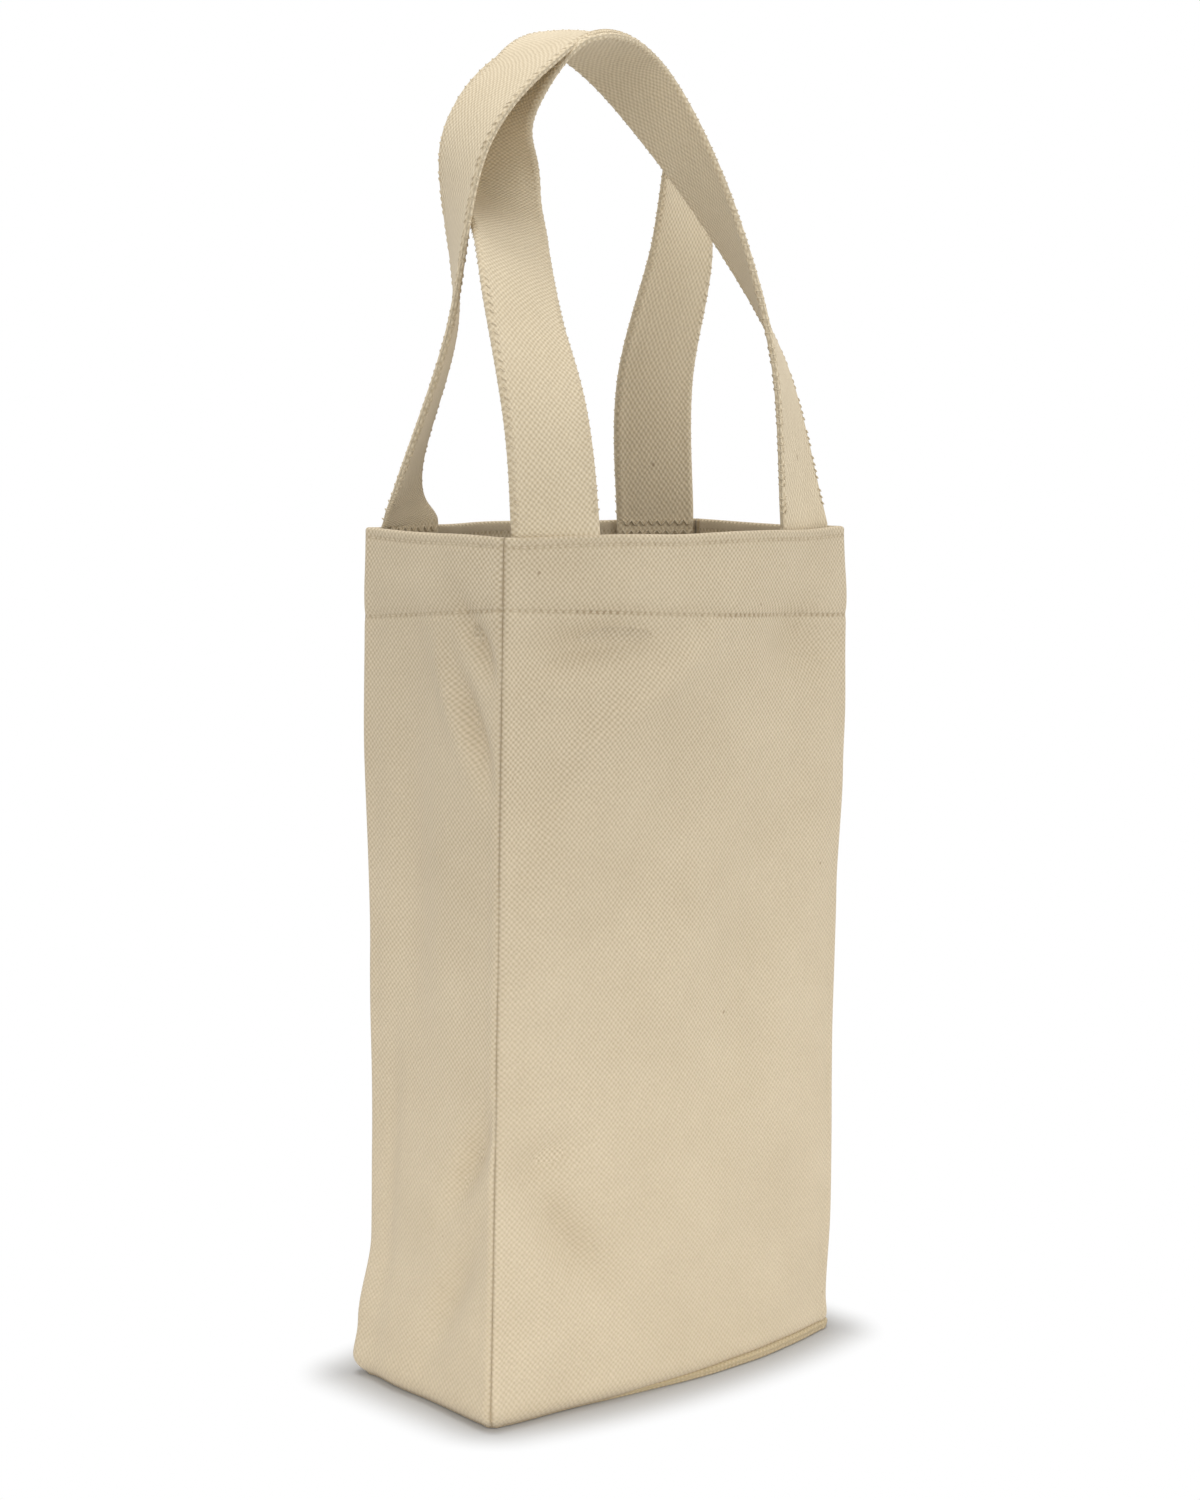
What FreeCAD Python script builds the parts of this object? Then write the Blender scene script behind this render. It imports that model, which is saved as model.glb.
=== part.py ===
import FreeCAD, Part
import Sketcher
import math
import os

# A canvas carrier for two bottles: four bowed side panels with a folded hem, a base,
# a hanging divider and two cloth handles that swing down over the rim.
# The origin is the middle of the base on the floor: X to the right, Y to the back, Z up.

doc = FreeCAD.newDocument("bottle_carrier")

# Driving sizes in millimetres, angles in degrees
sheet = doc.addObject("Spreadsheet::Sheet", "Sizes")
driving_sizes = (
    ("bag_height", 305.0),
    ("rim_width", 162.0),
    ("rim_depth", 74.0),
    ("rim_bow", 14.0),
    ("base_width", 168.0),
    ("base_depth", 76.0),
    ("base_bow", 10.0),
    ("gusset_bow", 2.0),
    ("cloth", 1.0),
    ("seam_gap", 0.2),
    ("hem_depth", 25.0),
    ("base_ply", 2.0),
    ("base_corner", 7.0),
    ("base_roll", 0.6),
    ("divider_tuck", 4.0),
    ("divider_dip", 34.0),
    ("divider_foot", 8.0),
    ("strap_spacing", 120.0),
    ("strap_width", 33.0),
    ("strap_ply", 2.6),
    ("strap_gap", 0.3),
    ("tail_length", 22.0),
    ("handle_rise", 170.0),
    ("thread", 0.6),
    ("thread_gap", 0.2),
    ("stitch_length", 2.0),
    ("stitch_pitch", 3.0),
    ("upper_row_drop", 4.0),
    ("lower_row_lift", 1.6),
    ("seam_row_inset", 1.6),
    ("base_row_inset", 3.0),
    ("edge_pitch", 4.6),
    ("tack_height", 3.0),
    ("tack_drop", 2.2),
    ("tack_margin", 2.4),
)
for row, (alias, value) in enumerate(driving_sizes, 1):
    sheet.set("A%d" % row, alias)
    sheet.set("B%d" % row, str(value))
    sheet.setAlias("B%d" % row, alias)
doc.recompute()


def size(alias):
    return float(sheet.get(alias))


# How much of the outer ply the folded hem laps into, and counts that are no lengths
hem_lap_share = 0.5
tack_rows = 2
station_steps = 6

# Where each strap passes between its two sewn ends, left to right: across as a share of half the strap
# spacing, lean as a share of the way from the rim to the bag's middle plane, rise as a share of the handle's
# rise, then the way its width points: turn about Z and tilt from level, in degrees
front_loop_shares = (
    (-0.89, 0.36, 0.240, 173, 5),
    (-0.81, 0.79, 0.452, 181, 8),
    (-0.75, 1.18, 0.635, 170, 2),
    (-0.70, 1.34, 0.789, 107, 4),
    (-0.43, 1.24, 0.906, 67, -9),
    (-0.02, 1.03, 0.947, 76, -21),
    (0.34, 0.82, 0.828, 82, -14),
    (0.65, 0.51, 0.601, 60, -4),
    (0.89, 0.18, 0.319, 36, 3),
)
back_loop_shares = (
    (-1.04, 0.38, 0.258, 37, 16),
    (-1.13, 0.82, 0.527, 58, 16),
    (-1.12, 1.04, 0.789, 81, 7),
    (-0.68, 1.16, 0.965, 90, 1),
    (-0.10, 1.05, 1.016, 107, 2),
    (0.34, 0.70, 0.905, 120, -14),
    (0.73, 0.65, 0.760, 178, -28),
    (0.87, 0.49, 0.554, 181, -6),
    (0.88, 0.18, 0.298, 171, -2),
)

# Radius of an arc with a half chord and a bow, as an expression
bow_radius = "((%s)^2 + (%s)^2) / (2 * (%s))"
rim_radius = bow_radius % ("Sizes.rim_width / 2", "Sizes.rim_bow", "Sizes.rim_bow")

# Each edge of a side as half its chord, the chord's distance from the middle and its bow.
# The folded hem of the front and the back stops short of the gussets, on the same arc as the rim.
fold_half = "Sizes.rim_width / 2 - 2 * Sizes.cloth - 2 * Sizes.seam_gap"
fold_bow = "%s - sqrt((%s)^2 - (%s)^2)" % (rim_radius, rim_radius, fold_half)
fold_chord = "Sizes.rim_depth / 2 + Sizes.rim_bow - (%s)" % fold_bow
gusset_rim = ("Sizes.rim_depth / 2 - Sizes.cloth - Sizes.seam_gap", "Sizes.rim_width / 2", "Sizes.gusset_bow")
front_side = {
    "rim": ("Sizes.rim_width / 2", "Sizes.rim_depth / 2", "Sizes.rim_bow"),
    "base": ("Sizes.base_width / 2", "Sizes.base_depth / 2", "Sizes.base_bow"),
    "fold": (fold_half, fold_chord, fold_bow),
}
gusset_side = {
    "rim": gusset_rim,
    "base": ("Sizes.base_depth / 2 - Sizes.cloth - Sizes.seam_gap", "Sizes.base_width / 2", "Sizes.gusset_bow"),
    "fold": gusset_rim,
}
panel_floor = "Sizes.base_ply + Sizes.seam_gap"


def worked_out(expression):
    return float(sheet.evalExpression(expression))


def body_plane(body, role):
    for feature in body.Origin.OriginFeatures:
        if feature.Role == role:
            return feature
    raise RuntimeError("no plane " + role)


def sketch_on(body, name, role, level):
    sketch = body.newObject("Sketcher::SketchObject", name)
    sketch.AttachmentSupport = (body_plane(body, role), [""])
    sketch.MapMode = "FlatFace"
    sketch.setExpression("AttachmentOffset.Base.z", level)
    return sketch


def bind(sketch, constraint, name, expression):
    index = sketch.addConstraint(constraint)
    sketch.renameConstraint(index, name)
    sketch.setExpression("Constraints." + name, expression)


def bow_arc(half, front, bow):
    radius = (half * half + bow * bow) / (2 * bow)
    spread = math.asin(half / radius)
    centre = FreeCAD.Vector(0, radius - bow - front, 0)
    circle = Part.Circle(centre, FreeCAD.Vector(0, 0, 1), radius)
    down = -math.pi / 2
    return Part.ArcOfCircle(circle, down - spread, down + spread)


# A strip of cloth seen from above: two equal arcs that bow outwards to -Y, joined at their ends
def band_sketch(body, name, level, half, outer, inner, bow):
    half_mm, outer_mm, inner_mm, bow_mm = (worked_out(e) for e in (half, outer, inner, bow))
    sketch = sketch_on(body, name, "XY_Plane", level)
    outside = sketch.addGeometry(bow_arc(half_mm, outer_mm, bow_mm))
    inside = sketch.addGeometry(bow_arc(half_mm, inner_mm, bow_mm))
    ends = []
    for sign in (-1, 1):
        start = FreeCAD.Vector(sign * half_mm, -outer_mm, 0)
        stop = FreeCAD.Vector(sign * half_mm, -inner_mm, 0)
        ends.append(sketch.addGeometry(Part.LineSegment(start, stop)))
    for arc_end, line in ((1, ends[0]), (2, ends[1])):
        sketch.addConstraint(Sketcher.Constraint("Coincident", outside, arc_end, line, 1))
        sketch.addConstraint(Sketcher.Constraint("Coincident", inside, arc_end, line, 2))
        sketch.addConstraint(Sketcher.Constraint("Vertical", line))
    sketch.addConstraint(Sketcher.Constraint("Symmetric", outside, 1, outside, 2, -2))
    sketch.addConstraint(Sketcher.Constraint("Horizontal", inside, 1, inside, 2))
    sketch.addConstraint(Sketcher.Constraint("Equal", outside, inside))
    bind(sketch, Sketcher.Constraint("DistanceX", -1, 1, outside, 2, half_mm), "half", half)
    bind(sketch, Sketcher.Constraint("DistanceY", outside, 2, -1, 1, outer_mm), "outer", outer)
    bind(sketch, Sketcher.Constraint("DistanceY", outside, 2, inside, 2, outer_mm - inner_mm), "ply",
         "(%s) - (%s)" % (outer, inner))
    radius = bow_radius % (half, bow, bow)
    bind(sketch, Sketcher.Constraint("Radius", outside, worked_out(radius)), "radius", radius)
    return sketch


# One side of the bag: a ply lofted from the base to the rim and the hem folded down inside it
def side_panel(label, side, angle):
    body = doc.addObject("PartDesign::Body", label)
    body.Label = label
    sections = []
    for edge, level in (("base", panel_floor), ("rim", "Sizes.bag_height")):
        half, outer, bow = side[edge]
        inner = outer + " - Sizes.cloth"
        sections.append(band_sketch(body, label + "_" + edge, level, half, outer, inner, bow))
    ply = body.newObject("PartDesign::AdditiveLoft", label + "_ply")
    ply.Profile = sections[0]
    ply.Sections = sections[1:]
    ply.Ruled = True
    doc.recompute()
    half, outer, bow = side["fold"]
    lapped = outer + " - Sizes.cloth * %g" % hem_lap_share
    folded = outer + " - 2 * Sizes.cloth"
    band = band_sketch(body, label + "_fold", "Sizes.bag_height", half, lapped, folded, bow)
    hem = body.newObject("PartDesign::Pad", label + "_hem")
    hem.Profile = band
    hem.Reversed = True
    hem.setExpression("Length", "Sizes.hem_depth")
    body.Placement = FreeCAD.Placement(FreeCAD.Vector(), FreeCAD.Rotation(FreeCAD.Vector(0, 0, 1), angle))
    doc.recompute()
    return body


side_panel("front_panel", front_side, 0)
side_panel("back_panel", front_side, 180)
side_panel("left_gusset", gusset_side, -90)
side_panel("right_gusset", gusset_side, 90)


# The base: an outline of four arcs, rounded at its corners and rolled at its edges
def base_panel(label):
    body = doc.addObject("PartDesign::Body", label)
    body.Label = label
    sketch = sketch_on(body, label + "_outline", "XY_Plane", "0")
    half_x = size("base_width") / 2
    half_y = size("base_depth") / 2
    turns = ((half_x, half_y, "base_bow", 0), (half_y, half_x, "gusset_bow", 90),
             (half_x, half_y, "base_bow", 180), (half_y, half_x, "gusset_bow", 270))
    arcs = []
    for half, outer, bow, turn in turns:
        arc = bow_arc(half, outer, size(bow))
        arc.rotate(FreeCAD.Placement(FreeCAD.Vector(), FreeCAD.Rotation(FreeCAD.Vector(0, 0, 1), turn)))
        arcs.append(sketch.addGeometry(arc))
    for index, arc in enumerate(arcs):
        follower = arcs[(index + 1) % len(arcs)]
        sketch.addConstraint(Sketcher.Constraint("Coincident", arc, 2, follower, 1))
    sketch.addConstraint(Sketcher.Constraint("Symmetric", arcs[0], 1, arcs[0], 2, -2))
    sketch.addConstraint(Sketcher.Constraint("Symmetric", arcs[1], 1, arcs[1], 2, -1))
    sketch.addConstraint(Sketcher.Constraint("Symmetric", arcs[2], 1, arcs[2], 2, -2))
    bind(sketch, Sketcher.Constraint("DistanceX", -1, 1, arcs[0], 2, half_x), "half_x", "Sizes.base_width / 2")
    bind(sketch, Sketcher.Constraint("DistanceY", arcs[0], 2, -1, 1, half_y), "half_y", "Sizes.base_depth / 2")
    for index, (half, outer, bow, turn) in enumerate(turns):
        run = "Sizes.base_width / 2" if bow == "base_bow" else "Sizes.base_depth / 2"
        radius = bow_radius % (run, "Sizes." + bow, "Sizes." + bow)
        bind(sketch, Sketcher.Constraint("Radius", arcs[index], worked_out(radius)), "radius_%d" % index, radius)
    pad = body.newObject("PartDesign::Pad", label + "_ply")
    pad.Profile = sketch
    pad.setExpression("Length", "Sizes.base_ply")
    doc.recompute()
    uprights = [n for n, e in enumerate(pad.Shape.Edges, 1)
                if abs(e.BoundBox.ZLength - size("base_ply")) < size("cloth") / 2 and e.BoundBox.XLength < size("cloth")]
    corners = body.newObject("PartDesign::Fillet", label + "_corners")
    corners.Base = (pad, ["Edge%d" % n for n in uprights])
    corners.setExpression("Radius", "Sizes.base_corner")
    doc.recompute()
    rolled = [n for n, e in enumerate(corners.Shape.Edges, 1) if e.BoundBox.ZMax < size("cloth") / 2]
    roll = body.newObject("PartDesign::Fillet", label + "_roll")
    roll.Base = (corners, ["Edge%d" % n for n in rolled])
    roll.setExpression("Radius", "Sizes.base_roll")
    doc.recompute()
    return body


base_panel("base_panel")


# The divider hangs in the middle plane, tucked behind the hem at the front and the back
def divider(label):
    body = doc.addObject("PartDesign::Body", label)
    body.Label = label
    clear = "2 * Sizes.cloth - Sizes.strap_gap"
    at_base = "Sizes.base_depth / 2 + Sizes.base_bow - " + clear
    at_rim = "Sizes.rim_depth / 2 + Sizes.rim_bow - " + clear
    foot = "Sizes.base_ply + Sizes.divider_foot"
    top = "Sizes.bag_height - Sizes.hem_depth + Sizes.divider_tuck"
    slope = "((%s) - (%s)) / Sizes.bag_height" % (at_rim, at_base)
    foot_half = "%s + %s * (%s)" % (at_base, slope, foot)
    top_half = "%s + %s * (%s)" % (at_base, slope, top)
    foot_mm, top_mm, foot_half_mm, top_half_mm = (worked_out(e) for e in (foot, top, foot_half, top_half))
    sketch = sketch_on(body, label + "_outline", "YZ_Plane", "0")
    sides = []
    for sign in (-1, 1):
        low = FreeCAD.Vector(sign * foot_half_mm, foot_mm, 0)
        high = FreeCAD.Vector(sign * top_half_mm, top_mm, 0)
        sides.append(sketch.addGeometry(Part.LineSegment(low, high)))
    lower = sketch.addGeometry(Part.LineSegment(FreeCAD.Vector(-foot_half_mm, foot_mm, 0),
                                                FreeCAD.Vector(foot_half_mm, foot_mm, 0)))
    upper = sketch.addGeometry(bow_arc(top_half_mm, -top_mm, size("divider_dip")))
    for end, line in ((1, sides[0]), (2, sides[1])):
        sketch.addConstraint(Sketcher.Constraint("Coincident", lower, end, line, 1))
        sketch.addConstraint(Sketcher.Constraint("Coincident", upper, end, line, 2))
    sketch.addConstraint(Sketcher.Constraint("Symmetric", lower, 1, lower, 2, -2))
    sketch.addConstraint(Sketcher.Constraint("Symmetric", upper, 1, upper, 2, -2))
    bind(sketch, Sketcher.Constraint("DistanceX", -1, 1, lower, 2, foot_half_mm), "foot_half", foot_half)
    bind(sketch, Sketcher.Constraint("DistanceX", -1, 1, upper, 2, top_half_mm), "top_half", top_half)
    bind(sketch, Sketcher.Constraint("DistanceY", -1, 1, lower, 2, foot_mm), "foot", foot)
    bind(sketch, Sketcher.Constraint("DistanceY", -1, 1, upper, 2, top_mm), "top", top)
    radius = bow_radius % (top_half, "Sizes.divider_dip", "Sizes.divider_dip")
    bind(sketch, Sketcher.Constraint("Radius", upper, worked_out(radius)), "radius", radius)
    pad = body.newObject("PartDesign::Pad", label + "_ply")
    pad.Profile = sketch
    pad.Midplane = True
    pad.setExpression("Length", "Sizes.cloth")
    doc.recompute()
    return body


divider("divider")

# The sewn strap ends follow the hem's inner face, which is the rim arc moved in by the two hem plies
rim_centre = "%s - Sizes.rim_bow - Sizes.rim_depth / 2 + 2 * Sizes.cloth" % rim_radius
tail_outer = rim_radius + " - Sizes.strap_gap"
tail_inner = tail_outer + " - Sizes.strap_ply"
tail_middle = tail_outer + " - Sizes.strap_ply / 2"
strap_turn = "asin(Sizes.strap_spacing / 2 / (%s))" % tail_middle
strap_sweep = "Sizes.strap_width / (%s) * 180 / pi * 1 deg" % tail_middle


def tail_sector(name, radius, facing, sign):
    sector = doc.addObject("Part::Cylinder", name)
    sector.setExpression("Radius", radius)
    sector.setExpression("Height", "Sizes.tail_length")
    sector.setExpression("Angle", strap_sweep)
    sector.setExpression("Placement.Base.y", "%d * (%s)" % (-facing, rim_centre))
    sector.setExpression("Placement.Base.z", "Sizes.bag_height - Sizes.tail_length")
    way = "%d * 90 deg + %d * (%s) - (%s) / 2" % (facing, -facing * sign, strap_turn, strap_sweep)
    sector.setExpression("Placement.Rotation.Angle", way)
    return sector


# Facing is -1 at the front and 1 at the back, sign is -1 on the left and 1 on the right
def strap_end(label, facing, sign):
    tail = doc.addObject("Part::Cut", label)
    tail.Label = label
    tail.Base = tail_sector(label + "_outside", tail_outer, facing, sign)
    tail.Tool = tail_sector(label + "_inside", tail_inner, facing, sign)
    return tail


corner_names = (("front", -1, "left", -1), ("front", -1, "right", 1), ("back", 1, "left", -1), ("back", 1, "right", 1))
for end, facing, hand, sign in corner_names:
    strap_end("%s_handle_%s_end" % (end, hand), facing, sign)
doc.recompute()


def piece(label, shape):
    feature = doc.addObject("Part::Feature", label)
    feature.Label = label
    feature.Shape = shape
    feature.Placement = FreeCAD.Placement()
    return feature


# A row of numbers part of the way between two stations, on a smooth curve that also heeds their neighbours
def eased(before, here, after, beyond, share):
    numbers = []
    for a, b, c, d in zip(before, here, after, beyond):
        bend = (2 * a - 5 * b + 4 * c - d) * share + (3 * b - a - 3 * c + d) * share ** 2
        numbers.append(b + (c - a + bend) * share / 2)
    return numbers


# The stations of a loop with its two sewn ends, filled in with the places between them
def all_stations(facing, loop_shares):
    turn = worked_out(strap_turn + " / 1 deg")
    turns = (180 - turn, turn) if facing < 0 else (turn, 180 - turn)
    rows = [(-1, 0, 0, turns[0], 0)] + list(loop_shares) + [(1, 0, 0, turns[1], 0)]
    first = [2 * a - b for a, b in zip(rows[0], rows[1])]
    last = [2 * a - b for a, b in zip(rows[-1], rows[-2])]
    rows = [first] + rows + [last]
    filled = []
    for index in range(1, len(rows) - 2):
        for step in range(station_steps):
            filled.append(eased(*rows[index - 1:index + 3], step / station_steps))
    return filled + [rows[-2]]


# The four long edges of a handle's free loop, through the corners of square-cut sections at the stations.
# The first and the last edge bound one side of the strap, the other two bound the other side.
def loop_edges(facing, loop_shares):
    radius = worked_out(tail_middle)
    foot = radius * math.cos(math.radians(worked_out(strap_turn + " / 1 deg"))) - worked_out(rim_centre)
    floor = size("bag_height") + size("strap_gap")
    centres = []
    widths = []
    for across, lean, rise, turn, tilt in all_stations(facing, loop_shares):
        centres.append(FreeCAD.Vector(across * size("strap_spacing") / 2, facing * foot * (1 - lean),
                                      floor + rise * size("handle_rise")))
        turn, tilt = math.radians(turn), math.radians(tilt)
        widths.append(FreeCAD.Vector(math.cos(turn) * math.cos(tilt), math.sin(turn) * math.cos(tilt), math.sin(tilt)))
    travelled = [0.0]
    for before, after in zip(centres, centres[1:]):
        travelled.append(travelled[-1] + before.distanceToPoint(after))
    sections = []
    for index, centre in enumerate(centres):
        if index == 0:
            along = FreeCAD.Vector(0, 0, 1)
        elif index == len(centres) - 1:
            along = FreeCAD.Vector(0, 0, -1)
        else:
            along = (centres[index + 1] - centres[index - 1]).normalize()
        width = widths[index] - along * widths[index].dot(along)
        width = width.normalize() * (size("strap_width") / 2)
        normal = along.cross(width).normalize() * (size("strap_ply") / 2)
        sections.append((centre - width - normal, centre + width - normal, centre + width + normal, centre - width + normal))
    edges = []
    for corner in zip(*sections):
        curve = Part.BSplineCurve()
        curve.interpolate(Points=list(corner), Parameters=travelled)
        edges.append(curve.toShape())
    return edges


# A handle's free loop: ruled faces between neighbouring edges, closed by a flat face at each sewn end
def handle_loop(label, edges):
    faces = [Part.makeRuledSurface(edge, follower, 1) for edge, follower in zip(edges, edges[1:] + edges[:1])]
    for end in (0, -1):
        corners = [edge.Vertexes[end].Point for edge in edges]
        faces.append(Part.Face(Part.makePolygon(corners + corners[:1])))
    shell = Part.makeShell(faces)
    shell.sewShape()
    loop = Part.makeSolid(shell)
    if loop.Volume < 0:
        loop.reverse()
    return piece(label, loop)


front_edges = loop_edges(-1, front_loop_shares)
back_edges = loop_edges(1, back_loop_shares)
handle_loop("front_handle", front_edges)
handle_loop("back_handle", back_edges)


# One stitch: a short bar of thread with its length along a seam, lying on a face that looks outward
def stitch(middle, along, outward, length):
    thread = size("thread")
    bar = Part.makeBox(length, thread, thread, FreeCAD.Vector(-length / 2, -thread / 2, -thread / 2))
    across = outward.cross(along)
    lifted = middle + outward * (thread / 2 + size("thread_gap"))
    bar.Placement = FreeCAD.Placement(lifted, FreeCAD.Rotation(along, across, outward, "XZY"))
    return bar


def arc_place(half, outer, bow, share):
    radius = (half * half + bow * bow) / (2 * bow)
    turn = share * math.asin(half / radius)
    point = FreeCAD.Vector(radius * math.sin(turn), radius - bow - outer - radius * math.cos(turn), 0)
    return point, turn


# A place on the outer face of a side, at a share of its half width and a height, seen in the front's own frame
def side_place(side, share, height):
    floor = worked_out(panel_floor)
    part_way = (height - floor) / (size("bag_height") - floor)
    low, low_turn = arc_place(*(worked_out(e) for e in side["base"]), share)
    high, high_turn = arc_place(*(worked_out(e) for e in side["rim"]), share)
    point = low + (high - low) * part_way
    point.z = height
    turn = low_turn + (high_turn - low_turn) * part_way
    return point, FreeCAD.Vector(math.sin(turn), -math.cos(turn), 0), FreeCAD.Vector(math.cos(turn), math.sin(turn), 0)


def turned(vector, angle):
    return FreeCAD.Rotation(FreeCAD.Vector(0, 0, 1), angle).multVec(vector)


side_turns = ((front_side, 0), (gusset_side, 90), (front_side, 180), (gusset_side, -90))


# A level row of stitches round all four sides
def level_row(label, height):
    bars = []
    for side, angle in side_turns:
        half = worked_out(side["rim"][0])
        reach = half - size("seam_row_inset") - size("stitch_length")
        count = int(2 * reach / size("stitch_pitch"))
        for number in range(count):
            share = ((2 * number + 1) / count - 1) * reach / half
            point, outward, along = side_place(side, share, height)
            bars.append(stitch(turned(point, angle), turned(along, angle), turned(outward, angle), size("stitch_length")))
    return piece(label, Part.makeCompound(bars))


level_row("hem_upper_stitches", size("bag_height") - size("upper_row_drop"))
level_row("hem_lower_stitches", size("bag_height") - size("hem_depth") + size("lower_row_lift"))


# An upright row of stitches beside a corner, on the gusset's face
def corner_row(label, angle, sign):
    bars = []
    floor = worked_out(panel_floor) + size("seam_row_inset")
    ceiling = size("bag_height") - size("seam_row_inset")
    count = int((ceiling - floor) / size("stitch_pitch"))
    share = sign * (1 - size("seam_row_inset") / worked_out(gusset_side["rim"][0]))
    rise = side_place(gusset_side, share, ceiling)[0] - side_place(gusset_side, share, floor)[0]
    upright = turned(rise.normalize(), angle)
    for number in range(count):
        height = floor + (number + 0.5) * (ceiling - floor) / count
        point, outward, along = side_place(gusset_side, share, height)
        bars.append(stitch(turned(point, angle), upright, turned(outward, angle), size("stitch_length")))
    return piece(label, Part.makeCompound(bars))


for end, facing, hand, sign in corner_names:
    corner_row("%s_%s_seam_stitches" % (end, hand), 90 * sign, facing * sign)


# The base seam, sewn down inside along the foot of every side
def base_row(label):
    bars = []
    up = FreeCAD.Vector(0, 0, 1)
    for side, angle in side_turns:
        half, outer, bow = (worked_out(e) for e in side["base"])
        half -= size("base_corner")
        count = int(2 * half / (2 * size("stitch_pitch")))
        for number in range(count):
            share = (2 * number + 1) / count - 1
            point, turn = arc_place(half, outer - size("base_row_inset"), bow, share)
            point.z = size("base_ply")
            along = FreeCAD.Vector(math.cos(turn), math.sin(turn), 0)
            bars.append(stitch(turned(point, angle), turned(along, angle), up, size("stitch_length")))
    return piece(label, Part.makeCompound(bars))


base_row("base_seam_stitches")


# Zigzag rows that hold each strap end, on the side of the strap that looks into the bag
def tack_rows_on(label, facing, sign):
    bars = []
    radius = worked_out(tail_inner)
    middle = math.radians(worked_out(strap_turn + " / 1 deg")) * sign
    sweep = (size("strap_width") - 2 * size("tack_margin")) / radius
    count = int(sweep * radius / size("stitch_pitch"))
    centre = worked_out(rim_centre)
    leg = math.hypot(sweep * radius / count, size("tack_height")) - size("thread") * 2
    for row in range(tack_rows):
        level = size("bag_height") - size("tack_drop") - (row + 0.5) * (size("tack_height") + size("thread"))
        for number in range(count):
            turn = middle + sweep * ((number + 0.5) / count - 0.5)
            spot = FreeCAD.Vector(radius * math.sin(turn), centre - radius * math.cos(turn), level)
            inward = FreeCAD.Vector(-math.sin(turn), math.cos(turn), 0)
            run = FreeCAD.Vector(math.cos(turn), math.sin(turn), 0) * (sweep * radius / count)
            rise = FreeCAD.Vector(0, 0, size("tack_height")) * (1 if number % 2 else -1)
            flip = 0 if facing < 0 else 180
            bars.append(stitch(turned(spot, flip), turned((run + rise).normalize(), flip), turned(inward, flip), leg))
    return piece(label, Part.makeCompound(bars))


for end, facing, hand, sign in corner_names:
    tack_rows_on("%s_%s_tack_stitches" % (end, hand), facing, -facing * sign)


# Edge stitching along both sides of a handle, each stitch halfway between the two edges that bound the side
def edge_rows(label, edges):
    bars = []
    near_side, far_side = (edges[0], edges[3]), (edges[1], edges[2])
    for side, other in ((near_side, far_side), (far_side, near_side)):
        count = int(min(e.Length for e in side) / size("edge_pitch"))
        for number in range(count):
            place = side[0].LastParameter * (number + 0.5) / count
            here = [e.valueAt(place) for e in side]
            along = (side[0].tangentAt(place) + side[1].tangentAt(place)).normalize()
            outward = along.cross(here[0] - here[1]).normalize()
            if outward.dot(here[0] - other[0].valueAt(place)) < 0:
                outward = -outward
            bars.append(stitch((here[0] + here[1]) / 2, along, outward, size("stitch_length")))
    return piece(label, Part.makeCompound(bars))


edge_rows("front_handle_stitches", front_edges)
edge_rows("back_handle_stitches", back_edges)
doc.recompute()

# Every piece is whole before anything is written
pieces = [o for o in doc.Objects if o.isDerivedFrom("PartDesign::Body") or o.TypeId == "Part::Cut"
          or o.TypeId == "Part::Feature"]
for thing in doc.Objects:
    if "Invalid" in thing.State or "Error" in thing.State:
        raise RuntimeError("%s is not whole: %s" % (thing.Label, thing.State))
for thing in pieces:
    if thing.Shape.isNull() or not thing.Shape.isValid():
        raise RuntimeError(thing.Label + " has no valid shape")

os.makedirs("parts", exist_ok=True)
for thing in pieces:
    thing.Shape.exportStep("parts/%s.step" % thing.Label)
    print(thing.Label, len(thing.Shape.Solids), round(thing.Shape.Volume, 1))
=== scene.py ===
import math
import bmesh
import bpy
from mathutils import Matrix, Vector, noise


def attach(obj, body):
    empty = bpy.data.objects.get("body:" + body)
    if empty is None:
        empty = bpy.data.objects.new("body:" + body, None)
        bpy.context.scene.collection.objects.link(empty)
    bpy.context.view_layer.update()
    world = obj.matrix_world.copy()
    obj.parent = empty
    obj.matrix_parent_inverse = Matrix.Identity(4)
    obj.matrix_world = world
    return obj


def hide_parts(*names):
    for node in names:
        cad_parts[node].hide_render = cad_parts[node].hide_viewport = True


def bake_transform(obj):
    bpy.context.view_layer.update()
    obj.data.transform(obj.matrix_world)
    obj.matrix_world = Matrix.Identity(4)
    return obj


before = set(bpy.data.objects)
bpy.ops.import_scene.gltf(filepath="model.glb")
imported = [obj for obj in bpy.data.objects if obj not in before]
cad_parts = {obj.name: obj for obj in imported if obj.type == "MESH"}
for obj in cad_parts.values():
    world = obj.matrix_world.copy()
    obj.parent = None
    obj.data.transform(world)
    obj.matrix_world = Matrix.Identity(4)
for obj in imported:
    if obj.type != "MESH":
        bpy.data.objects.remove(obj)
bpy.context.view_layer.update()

mm = 0.001


# small helpers

def mixed(a, b, share):
    return a + (b - a) * share


def eased(a, b, value):
    share = min(max((value - a) / (b - a), 0.0), 1.0)
    return share * share * (3 - 2 * share)


def hump(value, centre, width):
    return math.exp(-((value - centre) / width) ** 2)


# a hump from a row of height, centre and width
def swell(value, row):
    height, centre, width = row
    return height * hump(value, centre, width)


def ripple(x, y, size, seed):
    return noise.noise(Vector((x / size, y / size, seed * 7.31)))


def finishMesh(name, bm, material):
    mesh = bpy.data.meshes.new(name)
    bm.to_mesh(mesh)
    bm.free()
    for face in mesh.polygons:
        face.use_smooth = True
    piece = bpy.data.objects.new(name, mesh)
    bpy.context.scene.collection.objects.link(piece)
    mesh.materials.append(material)
    return piece


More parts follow.
